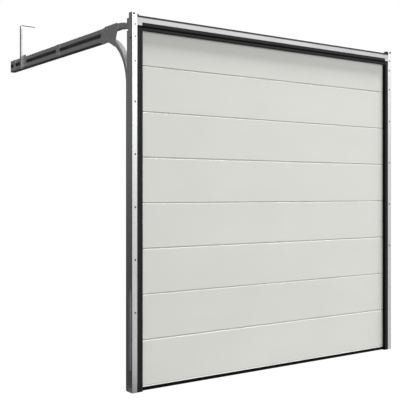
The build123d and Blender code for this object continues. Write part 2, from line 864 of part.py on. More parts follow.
# Spring bolt: a bracket with two ears, the bolt and its handle rod, a return spring and a knob
ear_near = leaf_edge + bolt_tip_reach
ear_far = ear_near + bracket_span
bend_x = ear_far + rod_reach
handle_run = handle_straight + handle_bend
handle_end_x = bend_x + handle_run * math.cos(math.radians(handle_angle))
handle_end_height = bolt_height - handle_run * math.sin(math.radians(handle_angle))
with BuildPart() as latch_bracket:
    with BuildSketch(Plane.XY.offset(bolt_height - bracket_breadth / 2)):
        with BuildLine():
            FilletPolyline(
                (ear_near, leaf_back + ear_height),
                (ear_near, leaf_back),
                (ear_far, leaf_back),
                (ear_far, leaf_back + ear_height),
                radius=post_bend + bracket_sheet / 2,
            )
            offset(amount=bracket_sheet, side=Side.LEFT)
        make_face()
    extrude(amount=bracket_breadth)
    with BuildSketch(Plane.YZ.offset(ear_near - cut_margin)):
        with Locations((bolt_depth, bolt_height)):
            Circle(bolt_radius + bolt_play)
    extrude(amount=bracket_sheet + 2 * cut_margin, mode=Mode.SUBTRACT)
    with BuildSketch(Plane.YZ.offset(ear_far + cut_margin)):
        with Locations((bolt_depth, bolt_height)):
            Circle(rod_radius + bolt_play)
            Rectangle(
                rod_radius + nub_rise + key_slot_play,
                2 * (nub_radius + key_slot_play),
                align=(Align.MIN, Align.CENTER),
            )
    extrude(amount=-(bracket_sheet + 2 * cut_margin), mode=Mode.SUBTRACT)
    with BuildSketch(Plane.XZ.offset(-leaf_back - bracket_sheet)):
        with Locations(((ear_near + ear_far) / 2, bolt_height)):
            with GridLocations(bracket_hole_spacing, bracket_hole_rise, 2, 2):
                Circle(bracket_hole_radius)
    extrude(amount=bracket_sheet, mode=Mode.SUBTRACT)
save(latch_bracket, "latch_bracket")

with BuildPart() as latch_rod:
    tip = leaf_edge
    shoulder = ear_far - bracket_sheet - seat_gap
    with BuildSketch(Plane.YZ.offset(tip)):
        with Locations((bolt_depth, bolt_height)):
            Circle(bolt_radius)
    extrude(amount=shoulder - tip)
    chamfer(edges().filter_by(GeomType.CIRCLE).group_by(Axis.X)[0], tip_chamfer)
    with BuildLine(Plane.XZ.offset(-bolt_depth)):
        FilletPolyline(
            (shoulder - rod_radius, bolt_height),
            (bend_x, bolt_height),
            (handle_end_x, handle_end_height),
            radius=handle_bend,
        )
    with BuildSketch(Plane.YZ.offset(shoulder - rod_radius)):
        with Locations((bolt_depth, bolt_height)):
            Circle(rod_radius)
    sweep()
    with BuildSketch(Plane.XZ.offset(-bolt_depth)):
        with Locations((ear_far + nub_inset, bolt_height)):
            Circle(nub_radius)
    extrude(amount=-(rod_radius + nub_rise))
    with BuildSketch(Plane.XY.offset(bolt_height - washer_radius)):
        with Locations((ear_far - washer_inset + cotter_radius + seat_gap, bolt_depth)):
            Circle(cotter_radius)
    extrude(amount=2 * washer_radius)
save(latch_rod, "latch_rod")

with BuildPart() as latch_washer:
    with BuildSketch(Plane.YZ.offset(ear_far - washer_inset)):
        with Locations((bolt_depth, bolt_height)):
            Circle(washer_radius)
            Circle(bolt_radius + bolt_play, mode=Mode.SUBTRACT)
    extrude(amount=-washer_sheet)
save(latch_washer, "latch_washer")

with BuildPart() as latch_spring:
    coil_start = ear_near + bracket_sheet + coil_wire + seat_gap
    coil_end = ear_far - washer_inset - washer_sheet - coil_wire - seat_gap
    coil_length = coil_end - coil_start
    with BuildLine():
        coil = Helix(
            pitch=coil_length / coil_turns,
            height=coil_length,
            radius=coil_radius,
            center=(coil_start, bolt_depth, bolt_height),
            direction=(1, 0, 0),
        )
    with BuildSketch(Plane(origin=coil @ 0, z_dir=coil % 0)):
        RegularPolygon(coil_wire, coil_wire_sides)
    sweep(is_frenet=True)
save(latch_spring, "latch_spring")

with BuildPart() as latch_knob:
    knob_plane = Plane(
        origin=(handle_end_x, bolt_depth, handle_end_height),
        x_dir=(handle_end_x - bend_x, 0, handle_end_height - bolt_height),
        z_dir=(0, -1, 0),
    )
    with BuildSketch(knob_plane):
        with BuildLine():
            neck = Line((seat_gap, 0), (seat_gap, knob_neck_radius))
            flank = Spline(
                neck @ 1,
                (knob_length * 0.35, knob_radius * 0.82),
                (knob_length * 0.68, knob_radius),
                (knob_length * 0.93, knob_radius * 0.62),
                (knob_length, 0),
                tangents=((1, 0.55), (0, -1)),
            )
            Line(flank @ 1, neck @ 0)
        make_face()
    revolve(axis=Axis(knob_plane.origin, knob_plane.x_dir))
save(latch_knob, "latch_knob")
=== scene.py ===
"""Looks of the sectional garage door: materials, spring coils, fasteners, floor, light and camera."""

import json
import math

import bmesh
import bpy
from mathutils import Matrix, Vector


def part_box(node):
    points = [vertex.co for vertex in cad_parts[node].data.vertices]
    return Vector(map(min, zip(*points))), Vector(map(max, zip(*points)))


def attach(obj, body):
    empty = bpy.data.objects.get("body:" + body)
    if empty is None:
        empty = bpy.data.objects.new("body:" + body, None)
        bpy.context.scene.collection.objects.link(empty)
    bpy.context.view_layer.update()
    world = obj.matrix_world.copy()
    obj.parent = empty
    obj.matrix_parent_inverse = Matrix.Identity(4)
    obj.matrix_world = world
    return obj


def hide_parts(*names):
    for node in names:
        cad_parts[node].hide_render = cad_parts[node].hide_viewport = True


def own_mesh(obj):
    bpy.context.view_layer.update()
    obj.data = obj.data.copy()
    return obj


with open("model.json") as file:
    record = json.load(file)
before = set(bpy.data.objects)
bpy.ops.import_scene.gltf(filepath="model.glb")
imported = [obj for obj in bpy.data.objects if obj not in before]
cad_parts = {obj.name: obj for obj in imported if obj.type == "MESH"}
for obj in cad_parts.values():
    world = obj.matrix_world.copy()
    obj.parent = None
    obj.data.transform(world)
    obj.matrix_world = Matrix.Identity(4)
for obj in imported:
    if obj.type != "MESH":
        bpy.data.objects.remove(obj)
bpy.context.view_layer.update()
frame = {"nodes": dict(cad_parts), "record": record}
nodes = frame["nodes"]
slots = {entry["node"]: entry["material_slot"] for entry in frame["record"]["subparts"]}

# Places read from the frame, in metres; the right side mirrors the left one about MIDDLE_X
POST_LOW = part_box("left_post")[0]
RIGHT_POST_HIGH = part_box("right_post")[1]
MIDDLE_X = (POST_LOW.x + RIGHT_POST_HIGH.x) / 2
LEAF_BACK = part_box("bottom_section")[1].y
LINTEL_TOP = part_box("lintel")[1].z
HANGER_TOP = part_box("left_hanger")[1].z
TRACK_FACE_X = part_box("left_gusset_plate")[0].x
SIDES = (("left", -1), ("right", 1))

# Painted shade in the zinc: dark rings round the wall screw holes, and the hanger's foot under the
# ceiling
SCREW_HEIGHTS = (0.455, 0.755, 1.055, 1.355, 1.655, 1.885, 2.024, 2.093)
HOLE_SHADE_RADIUS = 0.0062
FOOT_HEIGHT = 0.012
PAINTED_SHADE_COLOUR = (0.15, 0.15, 0.155, 1)
SPANGLE_SCALE = 180.0
SPANGLE_CONTRAST = 0.06

# Painted shade along the top edge of the lintel, where its set-back rim lies in shadow
HEAD_SHADE_WIDTH = 0.0062
HEAD_SHADE_COLOUR = (0.045, 0.045, 0.048, 1)

# Painted shade on the seals: jet black on the lips that lie back in shadow, and on the band in the
# middle of the head seal, where its groove is
SEAL_LIP_X = 0.039
SEAL_WIDTH = 0.05
HEAD_SEAL_LOW = 2.0651
HEAD_BAND_MIDDLE = 2.084
HEAD_BAND_HALF = 0.0055
SEAL_SHADE_COLOUR = (0.001, 0.001, 0.001, 1)


class Tree:
    """The node tree of a material or world, with short ways to add nodes and join them."""

    SHADER_SOCKETS = {
        "colour": "Base Color",
        "metallic": "Metallic",
        "roughness": "Roughness",
        "specular": "Specular IOR Level",
        "coat": "Coat Weight",
        "coat_roughness": "Coat Roughness",
    }

    def __init__(self, owner):
        owner.use_nodes = True
        self.owner = owner
        self.nodes = owner.node_tree.nodes
        self.links = owner.node_tree.links
        self.shader = self.nodes.get("Principled BSDF")

    def put(self, socket, value):
        """Join an output to a socket, or write a number or colour there."""
        if isinstance(value, bpy.types.NodeSocket):
            self.links.new(value, socket)
        else:
            socket.default_value = value

    def add(self, kind, inputs=None, **settings):
        node = self.nodes.new(kind)
        for name, value in settings.items():
            setattr(node, name, value)
        for name, value in (inputs or {}).items():
            self.put(node.inputs[name], value)
        return node

    def shade(self, **values):
        """Give the surface shader its colour, roughness and so on."""
        for name, value in values.items():
            self.put(self.shader.inputs[self.SHADER_SOCKETS[name]], value)

    def space(self, stretch=(1, 1, 1)):
        """Object coordinates, in metres in the row frame, scaled by stretch."""
        place = self.add("ShaderNodeTexCoord").outputs["Object"]
        return self.add("ShaderNodeMapping", {"Vector": place, "Scale": stretch}).outputs["Vector"]

    def parts(self, vector):
        """The X and Z of a place."""
        outputs = self.add("ShaderNodeSeparateXYZ", {"Vector": vector}).outputs
        return outputs["X"], outputs["Z"]

    def noise(self, vector, scale, detail, roughness=0.5):
        inputs = {"Vector": vector, "Scale": scale, "Detail": detail, "Roughness": roughness}
        return self.add("ShaderNodeTexNoise", inputs).outputs["Fac"]

    def ramp(self, factor, *stops):
        """Colour that runs between two stops, each a place and a grey or a colour."""
        node = self.add("ShaderNodeValToRGB", {"Fac": factor})
        for element, (place, value) in zip(node.color_ramp.elements, stops):
            colour = value if isinstance(value, tuple) else (value, value, value)
            element.position = place
            element.color = (*colour, 1)
        return node.outputs["Color"]

    def bump(self, height, strength, distance, over=None):
        """Relief on the surface, laid over another relief where one is given."""
        inputs = {"Strength": strength, "Distance": distance, "Height": height}
        if over:
            inputs["Normal"] = over
        normal = self.add("ShaderNodeBump", inputs).outputs["Normal"]
        self.links.new(normal, self.shader.inputs["Normal"])
        return normal

    def math(self, operation, *values):
        inputs = dict(enumerate(values))
        return self.add("ShaderNodeMath", inputs, operation=operation).outputs["Value"]

    def distance(self, value, middle):
        """How far a value is from middle."""
        return self.math("ABSOLUTE", self.math("SUBTRACT", value, middle))

    def mix(self, factor, first, second, kind="RGBA"):
        """The first where factor is 0, and the second where it is 1."""
        inputs = {"Factor": factor, "A": first, "B": second}
        return self.add("ShaderNodeMix", inputs, data_type=kind).outputs["Result"]

    def mix_shaders(self, factor, first, second):
        return self.add("ShaderNodeMixShader", {0: factor, 1: first, 2: second}).outputs["Shader"]

    def falloff(self, vector, direction, low, high, dim, full):
        """Brightness that goes smoothly from full to dim along a direction."""
        inputs = {0: vector, 1: direction}
        facing = self.add("ShaderNodeVectorMath", inputs, operation="DOT_PRODUCT").outputs["Value"]
        inputs = {
            "Value": facing,
            "From Min": low,
            "From Max": high,
            "To Min": full,
            "To Max": dim,
        }
        spread = self.add("ShaderNodeMapRange", inputs, interpolation_type="SMOOTHSTEP")
        return spread.outputs["Result"]

    def rays(self):
        """1 for rays from the camera, and 1 for those from it, from gloss or through glass."""
        path = self.add("ShaderNodeLightPath")
        camera_ray = path.outputs["Is Camera Ray"]
        seen = camera_ray
        for kind in ("Is Glossy Ray", "Is Transmission Ray"):
            seen = self.math("MAXIMUM", seen, path.outputs[kind])
        return camera_ray, seen


def new_paint(name):
    return Tree(bpy.data.materials.new(name))


def leaf_paint():
    """White polyester coat over an embossed skin: fine grain along the sections."""
    paint = new_paint("leaf_paint")
    tone = paint.noise(paint.space((0.6, 1, 1)), scale=3.0, detail=3)
    colour = paint.ramp(tone, (0.3, (0.605, 0.612, 0.577)), (0.7, (0.628, 0.635, 0.600)))
    paint.shade(colour=colour, roughness=0.5, specular=0.35)
    grain = paint.noise(paint.space((0.16, 1, 1)), scale=420.0, detail=3, roughness=0.6)
    embossed = paint.bump(grain, strength=0.12, distance=0.0004)
    pebble = paint.noise(paint.space(), scale=160.0, detail=2)
    paint.bump(pebble, strength=0.08, distance=0.0006, over=embossed)
    return paint.owner


def hole_shade_rings(paint, vector):
    """1 close to a wall screw hole, painted dark as the shade in and round the hole, else 0."""
    x, z = paint.parts(vector)
    across = paint.distance(paint.distance(x, MIDDLE_X), MIDDLE_X)
    up = paint.distance(z, SCREW_HEIGHTS[0])
    for height in SCREW_HEIGHTS[1:]:
        up = paint.math("MINIMUM", up, paint.distance(z, height))
    squares = [paint.math("POWER", length, 2.0) for length in (across, up)]
    return paint.math("LESS_THAN", paint.math("ADD", *squares), HOLE_SHADE_RADIUS**2)


def hanger_foot_shade(paint, vector):
    """1 on the foot under the ceiling, painted dark as the shade under it, else 0."""
    return paint.math("GREATER_THAN", paint.parts(vector)[1], HANGER_TOP - FOOT_HEIGHT)


def galvanised(name, tint, roughness, painted_shade=None):
    """Zinc-coated sheet: crystals of slightly different tone and shine, faint streaks.

    painted_shade, if given, returns the places painted dark as shade: 1 there, and 0 elsewhere.
    """
    paint = new_paint(name)
    vector = paint.space()
    crystals = paint.add("ShaderNodeTexVoronoi", {"Vector": vector, "Scale": SPANGLE_SCALE})
    split = paint.add("ShaderNodeSeparateColor", {"Color": crystals.outputs["Color"]})
    dark = tuple(part * (1 - SPANGLE_CONTRAST) for part in tint)
    light = tuple(part * (1 + SPANGLE_CONTRAST) for part in tint)
    colour = paint.ramp(split.outputs["Red"], (0.0, dark), (1.0, light))
    if painted_shade:
        # Painted shade: the mask's places are mixed to a dark grey
        colour = paint.mix(painted_shade(paint, vector), colour, PAINTED_SHADE_COLOUR)
    shine = paint.ramp(split.outputs["Green"], (0.0, roughness - 0.05), (1.0, roughness + 0.07))
    paint.shade(metallic=1.0, colour=colour, roughness=shine)
    streaks = paint.noise(paint.space((1, 1, 0.05)), scale=60.0, detail=3)
    paint.bump(streaks, strength=0.05, distance=0.0004)
    return paint.owner


def bright_zinc():
    """Blue-passivated zinc on pressed fittings and bolts."""
    paint = new_paint("bright_zinc")
    vector = paint.space()
    tone = paint.noise(vector, scale=35.0, detail=4)
    colour = paint.ramp(tone, (0.3, (0.66, 0.67, 0.69)), (0.7, (0.80, 0.80, 0.80)))
    paint.shade(metallic=1.0, colour=colour, roughness=paint.ramp(tone, (0.3, 0.24), (0.7, 0.36)))
    scratches = paint.noise(vector, scale=900.0, detail=2)
    paint.bump(scratches, strength=0.05, distance=0.0002)
    return paint.owner


def seal_shade(paint, vector):
    """Painted shade: 1 on the lips under the lintel and at the right, which lie back in shadow, 0 on the
    left seal and the head seal's edges.
    """
    x, z = paint.parts(vector)
    shaded = paint.math("LESS_THAN", x, 2 * MIDDLE_X - SEAL_LIP_X)
    at_left = paint.math("LESS_THAN", x, SEAL_LIP_X + SEAL_WIDTH)
    below_head = paint.math("LESS_THAN", z, HEAD_SEAL_LOW)
    left_seal = paint.math("MULTIPLY", at_left, below_head)
    shaded = paint.math("SUBTRACT", shaded, left_seal)
    off_middle = paint.math("GREATER_THAN", paint.distance(z, HEAD_BAND_MIDDLE), HEAD_BAND_HALF)
    in_head = paint.math("GREATER_THAN", z, HEAD_SEAL_LOW)
    edges = paint.math("MULTIPLY", off_middle, in_head)
    return paint.math("MAXIMUM", paint.math("SUBTRACT", shaded, edges), 0.0)


def black_rubber():
    """Extruded rubber with a chalky bloom, and jet black painted as shade on its lips."""
    paint = new_paint("black_rubber")
    vector = paint.space()
    bloom = paint.ramp(paint.noise(vector, scale=25.0, detail=4), (0.35, 0.012), (0.75, 0.020))
    # Painted shade: jet black and fully rough where the mask is 1
    shaded = seal_shade(paint, vector)
    paint.shade(
        colour=paint.mix(shaded, bloom, SEAL_SHADE_COLOUR),
        roughness=paint.ramp(shaded, (0.0, 0.6), (1.0, 1.0)),
        specular=0.2,
    )
    grain = paint.noise(vector, scale=700.0, detail=2)
    paint.bump(grain, strength=0.1, distance=0.0003)
    return paint.owner


def jet_rubber():
    """Soft black rubber of the tube under the leaf, matt from wear."""
    paint = new_paint("jet_rubber")
    vector = paint.space()
    wear = paint.noise(vector, scale=30.0, detail=3)
    colour = paint.ramp(wear, (0.35, 0.002), (0.75, 0.005))
    paint.shade(colour=colour, roughness=0.8, specular=0.1)
    grain = paint.noise(vector, scale=700.0, detail=2)
    paint.bump(grain, strength=0.1, distance=0.0003)
    return paint.owner


def trim_white():
    """Light coated lintel with fine lines along it, and painted shade along its top edge."""
    paint = new_paint("trim_white")
    tone = paint.noise(paint.space((0.3, 1, 1)), scale=12.0, detail=3)
    coat = paint.ramp(tone, (0.3, (0.55, 0.552, 0.558)), (0.7, (0.62, 0.622, 0.628)))
    # Painted shade: a dark band along the top edge
    shaded_edge = paint.math("GREATER_THAN", paint.parts(paint.space())[1], LINTEL_TOP - HEAD_SHADE_WIDTH)
    colour = paint.mix(shaded_edge, coat, HEAD_SHADE_COLOUR)
    paint.shade(colour=colour, metallic=0.2, roughness=0.45)
    drawn = paint.noise(paint.space((0.01, 1, 1)), scale=260.0, detail=3)
    lines = paint.bump(drawn, strength=0.25, distance=0.0005)
    orange_peel = paint.noise(paint.space(), scale=500.0, detail=2)
    paint.bump(orange_peel, strength=0.06, distance=0.0003, over=lines)
    return paint.owner


def rail_white_painted_light():
    """Coated rail under the leaf, white like the lintel and painted brighter than it as a painted
    highlight.
    """
    paint = new_paint("rail_white_painted_light")
    tone = paint.noise(paint.space((0.2, 1, 1)), scale=10.0, detail=3)
    # Painted highlight: near white, brighter than the same coat on the lintel
    paint.shade(colour=paint.ramp(tone, (0.3, 0.83), (0.7, 0.88)), roughness=0.35)
    ripple = paint.noise(paint.space(), scale=400.0, detail=2)
    paint.bump(ripple, strength=0.05, distance=0.0003)
    return paint.owner


def roller_plastic():
    """Moulded black nylon with a fine matt grain."""
    paint = new_paint("roller_plastic")
    vector = paint.space()
    tone = paint.noise(vector, scale=60.0, detail=3)
    paint.shade(colour=paint.ramp(tone, (0.3, 0.012), (0.7, 0.022)), roughness=0.45)
    grain = paint.noise(vector, scale=1200.0, detail=2)
    paint.bump(grain, strength=0.08, distance=0.0002)
    return paint.owner


def knob_plastic():
    """Glossy black phenolic knob with a trace of moulding ripple."""
    paint = new_paint("knob_plastic")
    vector = paint.space()
    tone = paint.noise(vector, scale=30.0, detail=3)
    colour = paint.ramp(tone, (0.3, 0.006), (0.7, 0.011))
    paint.shade(colour=colour, roughness=0.22, coat=0.4, coat_roughness=0.12)
    ripple = paint.noise(vector, scale=120.0, detail=2)
    paint.bump(ripple, strength=0.04, distance=0.0004)
    return paint.owner


def spring_steel():
    """Zinc-coated spring wire with fine drawn lines, painted near white as painted light so the coils
    show lit inside the post.
    """
    paint = new_paint("spring_steel")
    vector = paint.space()
    tone = paint.noise(vector, scale=90.0, detail=4)
    # Painted light: near white, brighter than bare zinc
    colour = paint.ramp(tone, (0.3, (0.80, 0.80, 0.81)), (0.7, (0.93, 0.93, 0.93)))
    paint.shade(colour=colour, metallic=0.15, specular=0.8, roughness=0.3)
    grain = paint.noise(vector, scale=1500.0, detail=2)
    paint.bump(grain, strength=0.06, distance=0.0002)
    return paint.owner


ZINC_TINT = (0.63, 0.635, 0.64)
finishes = {
    "leaf_paint": leaf_paint(),
    "zinc_steel": galvanised("zinc_steel", ZINC_TINT, 0.42),
    "dark_steel": galvanised("dark_steel", (0.58, 0.585, 0.59), 0.42),
    "trim_white": trim_white(),
    "black_rubber": black_rubber(),
    "roller_plastic": roller_plastic(),
    "bright_zinc": bright_zinc(),
    "spring_steel": spring_steel(),
    "knob_plastic": knob_plastic(),
}
# Posts with painted shade round their wall screw holes
post_zinc_hole_shade = galvanised("post_zinc_hole_shade", ZINC_TINT, 0.42, hole_shade_rings)
# Hangers with painted shade on the foot
hanger_zinc_foot_shade = galvanised("hanger_zinc_foot_shade", (0.40, 0.405, 0.41), 0.45, hanger_foot_shade)
own_finishes = {
    "left_post": post_zinc_hole_shade,
    "right_post": post_zinc_hole_shade,
    "left_hanger": hanger_zinc_foot_shade,
    "right_hanger": hanger_zinc_foot_shade,
    "bottom_rail": rail_white_painted_light(),
    "bottom_seal": jet_rubber(),
}


def finish(obj, slot, material=None):
    """Give a piece its slot's finish, or a finish of its own."""
    obj.data.materials.clear()
    obj.data.materials.append(material or finishes[slot])


for node, slot in slots.items():
    finish(nodes[node], slot, own_finishes.get(node))


def add_object(name, data):
    obj = bpy.data.objects.new(name, data)
    bpy.context.scene.collection.objects.link(obj)
    return obj


def add_piece(name, mesh, slot):
    """A new piece with its finish, riding on the door."""
    obj = add_object(name, mesh)
    finish(obj, slot)
    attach(obj, "door")
    return obj


def turned(step, count):
    """Angle of a step, where count steps make a full turn."""
    return 2 * math.pi * step / count


def join_rings(mesh, rings):
    """Skin over a row of rings of vertices, closed at both ends."""
    for low, high in zip(rings, rings[1:]):
        for side in range(len(low)):
            after = (side + 1) % len(low)
            mesh.faces.new((low[side], low[after], high[after], high[side]))
    mesh.faces.new(list(reversed(rings[0])))
    mesh.faces.new(rings[-1])


def to_mesh(name, mesh):
    data = bpy.data.meshes.new(name)
    mesh.to_mesh(data)
    mesh.free()
    return data


# Tension springs: open coils of round wire with a loop at the bottom end
SPRING_PITCH = 0.0115
WIRE_RADIUS = 0.0018
COIL_POINTS = 20
WIRE_SIDES = 8


def sweep_wire(points):
    """Mesh tube of round wire along a list of points."""
    mesh = bmesh.new()
    rings = []
    normal = None
    for i, point in enumerate(points):
        ahead = points[min(i + 1, len(points) - 1)]
        behind = points[max(i - 1, 0)]
        tangent = (ahead - behind).normalized()
        if normal is None:
            normal = tangent.orthogonal().normalized()
        normal = (normal - tangent * normal.dot(tangent)).normalized()
        across = tangent.cross(normal)
        ring = []
        for side in range(WIRE_SIDES):
            turn = turned(side, WIRE_SIDES)
            offset = normal * math.cos(turn) + across * math.sin(turn)
            ring.append(mesh.verts.new(point + offset * WIRE_RADIUS))
        rings.append(ring)
    join_rings(mesh, rings)
    bmesh.ops.recalc_face_normals(mesh, faces=mesh.faces)
    data = to_mesh("wire", mesh)
    for polygon in data.polygons:
        polygon.use_smooth = True
    return data


def spring_points(node):
    """Centreline of a spring that fills its CAD node: bottom loop, then coils."""
    low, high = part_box(node)
    centre = (low + high) / 2
    coil_radius = (high.x - low.x) / 2 - WIRE_RADIUS
    loop_height = 2 * coil_radius + WIRE_RADIUS
    start = low.z + loop_height
    end = high.z - loop_height
    points = []
    for step in range(COIL_POINTS):
        turn = turned(step, COIL_POINTS)
        y = centre.y + coil_radius * math.sin(turn)
        z = low.z + WIRE_RADIUS + coil_radius * (1 - math.cos(turn))
        points.append(Vector((centre.x, y, z)))
    steps = int((end - start) / SPRING_PITCH * COIL_POINTS)
    for step in range(steps + 1):
        turn = turned(step, COIL_POINTS) + math.pi / 2
        x = centre.x + coil_radius * math.cos(turn)
        y = centre.y + coil_radius * math.sin(turn)
        z = start + (end - start) * step / steps
        points.append(Vector((x, y, z)))
    return points


spring_coils = {}
for side, way in SIDES:
    node = f"{side}_spring"
    coil = add_piece(f"{node}_coil", sweep_wire(spring_points(node)), "spring_steel")
    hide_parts(node)
    spring_coils[side] = coil


# The bolt's spring as a piece of its own on the door; on the latch it is pressed together towards its
# seat as the bolt is shot
latch_coil = add_piece(
    "latch_spring_coil", nodes["latch_spring"].data.copy(), slots["latch_spring"]
)
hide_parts("latch_spring")
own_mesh(latch_coil)


# Fasteners: each size is the radius of the head
HEAD_SIDES = 24
CARRIER_SCREW, DOME_BOLT, HANGER_BOLT, LATCH_SCREW = 0.0045, 0.0052, 0.0042, 0.0045
HOOK_PLUG, SIDE_PLUG = 0.0072, 0.0062

# Pressed plates on the leaf's back, with a screw near each corner
PLATE_SHEET = 0.002
PLATE_HEIGHT = 0.092
CARRIER_WIDTH, HINGE_WIDTH = 0.050, 0.060
SCREW_INSET = 0.010
LATCH_FACE_Y = 0.059
LATCH_SCREW_XS = (0.085, 0.158)
LATCH_SCREW_HEIGHTS = (0.785, 0.815)

# Bolts on the outer faces of the tracks: depths into the garage, heights, and turns round the bend
LOWER_TRACK, UPPER_TRACK = 2.0585, 2.110
PLATE_BOLT_DEPTHS = (0.205, 0.300, 0.352)
BEND_CENTRE = (0.3695, 1.7535)
BEND_RADIUS = 0.305
BEND_BOLT_DEGREES = (62, 77)
STRAP_BOLT_DEPTHS = (0.957, 0.991, 1.701, 1.725, 1.528)
HANGER_BOLT_PLACE = (-0.0252, 1.5602)
HANGER_BOLT_HEIGHTS = (2.072, 2.114)

# Plugs in the hook hole at the post's head and in the hole in its side
HOOK_HOLE = (-0.008, 2.154)
SIDE_HOLE = (0.022, 2.018)


def lathe(mesh, spot, size, profile, sides=HEAD_SIDES):
    """Closed solid turned about the local Z axis; the profile's radii and heights are shares of size."""
    rings = []
    for radius, height in profile:
        ring = []
        for side in range(sides):
            turn = turned(side, sides)
            point = Vector((radius * math.cos(turn), radius * math.sin(turn), height)) * size
            ring.append(mesh.verts.new(spot @ point))
        rings.append(ring)
    join_rings(mesh, rings)


def hex_bolt(mesh, spot, size):
    """Hexagon head with a round flange under it and a chamfered top."""
    lathe(mesh, spot, size, [(1.32, 0.0), (1.32, 0.14), (1.1, 0.26)])
    lathe(mesh, spot, size, [(1.0, 0.2), (1.0, 0.72), (0.86, 0.86)], sides=6)


def dome_bolt(mesh, spot, size):
    """Low round head, as on carriage bolts and rivets."""
    lathe(mesh, spot, size, [(1.0, 0.0), (0.98, 0.12), (0.86, 0.3), (0.62, 0.44), (0.3, 0.52)])


def fasten(name, kind, size, axis, places, slot="bright_zinc"):
    """One piece that holds a family of fasteners, all facing along axis."""
    mesh = bmesh.new()
    turn = Vector((0, 0, 1)).rotation_difference(Vector(axis)).to_matrix().to_4x4()
    for place in places:
        kind(mesh, Matrix.Translation(place) @ turn, size)
    return add_piece(name, to_mesh(name, mesh), slot)


def solids(node):
    """Lowest and highest corners of each separate solid in a node."""
    mesh = bmesh.new()
    mesh.from_mesh(nodes[node].data)
    bmesh.ops.remove_doubles(mesh, verts=mesh.verts, dist=1e-6)
    left = set(mesh.verts)
    boxes = []
    while left:
        group = []
        edge = [left.pop()]
        while edge:
            vertex = edge.pop()
            group.append(vertex.co.copy())
            for other in (joined.other_vert(vertex) for joined in vertex.link_edges):
                if other in left:
                    left.discard(other)
                    edge.append(other)
        low = Vector([min(point[i] for point in group) for i in range(3)])
        high = Vector([max(point[i] for point in group) for i in range(3)])
        boxes.append((low, high))
    mesh.free()
    return boxes


def plate_corners(node, width):
    """Screw places at the corners of the plates on the leaf's back, from each plate's outer edge."""
    places = []
    for low, high in solids(node):
        outer_x = high.x - width if low.x < MIDDLE_X else low.x
        for x in (outer_x + SCREW_INSET, outer_x + width - SCREW_INSET):
            for z in (high.z - SCREW_INSET, high.z - PLATE_HEIGHT + SCREW_INSET):
                places.append((x, LEAF_BACK + PLATE_SHEET, z))
    return places


def mirrored(x, way):
    """A place along the wall, carried over to the right side where way is 1."""
    return x if way < 0 else 2 * MIDDLE_X - x


def side_fasteners(side, way):
    """Bolts on the tracks and hanger and plugs in the post of one side."""
    face = mirrored(TRACK_FACE_X, way)
    outward = (way, 0, 0)
    streetward = (0, -1, 0)
    plate_bolts = [(face, depth, UPPER_TRACK) for depth in PLATE_BOLT_DEPTHS]
    plate_bolts.append((face, PLATE_BOLT_DEPTHS[-1], LOWER_TRACK))
    for degrees in BEND_BOLT_DEGREES:
        turn = math.radians(degrees)
        depth = BEND_CENTRE[0] - BEND_RADIUS * math.cos(turn)
        height = BEND_CENTRE[1] + BEND_RADIUS * math.sin(turn)
        plate_bolts.append((face, depth, height))
    fasten(f"{side}_plate_bolts", dome_bolt, DOME_BOLT, outward, plate_bolts, "dark_steel")
    strap_bolts = [
        (face, depth, height)
        for depth in STRAP_BOLT_DEPTHS
        for height in (LOWER_TRACK, UPPER_TRACK)
    ]
    fasten(f"{side}_strap_bolts", dome_bolt, DOME_BOLT, outward, strap_bolts, "dark_steel")
    hook_plug = [(mirrored(HOOK_HOLE[0], way), POST_LOW.y, HOOK_HOLE[1])]
    fasten(f"{side}_hook_plug", dome_bolt, HOOK_PLUG, streetward, hook_plug, "roller_plastic")
    side_plug = [(mirrored(POST_LOW.x, way), *SIDE_HOLE)]
    fasten(f"{side}_side_plug", dome_bolt, SIDE_PLUG, outward, side_plug, "roller_plastic")
    x, depth = HANGER_BOLT_PLACE
    hanger_bolts = [(mirrored(x, way), depth, height) for height in HANGER_BOLT_HEIGHTS]
    fasten(f"{side}_hanger_bolts", hex_bolt, HANGER_BOLT, streetward, hanger_bolts)


inward = (0, 1, 0)
for side, way in SIDES:
    carriers = plate_corners(f"{side}_roller_carriers", CARRIER_WIDTH)
    fasten(f"{side}_carrier_screws", hex_bolt, CARRIER_SCREW, inward, carriers)
hinges = plate_corners("middle_hinges", HINGE_WIDTH)
fasten("hinge_screws", hex_bolt, CARRIER_SCREW, inward, hinges)
latch_screws = [(x, LATCH_FACE_Y, z) for x in LATCH_SCREW_XS for z in LATCH_SCREW_HEIGHTS]
fasten("latch_screws", dome_bolt, LATCH_SCREW, inward, latch_screws)
for side, way in SIDES:
    side_fasteners(side, way)


# Floor and world: white to the camera, and in the metal white in front and dim at the back left
WHITE = 1.0
FLOOR_ALBEDO = 0.55
FLOOR_ROUGHNESS = 0.9
FLOOR_SHARE = 0.85
FLOOR_GLOW = 1.15
FLOOR_SHINE = 0.8
FLOOR_DIM_FROM, FLOOR_DIM_TO = -0.9, 0.35
FLOOR_REACH = 40.0
FLOOR_DROP = 0.0005
DARK_SIDE = Vector((-0.55, 0.84, 0.0)).normalized()
FLAG_FROM, FLAG_TO = -0.25, 0.75
FLAG_LEVEL = 0.21
AMBIENT_AWAY = Vector((-0.62, 0.70, -0.35)).normalized()
AMBIENT_FROM, AMBIENT_TO = -1.0, 0.5
AMBIENT_FULL, AMBIENT_DIM = 0.62, 0.22


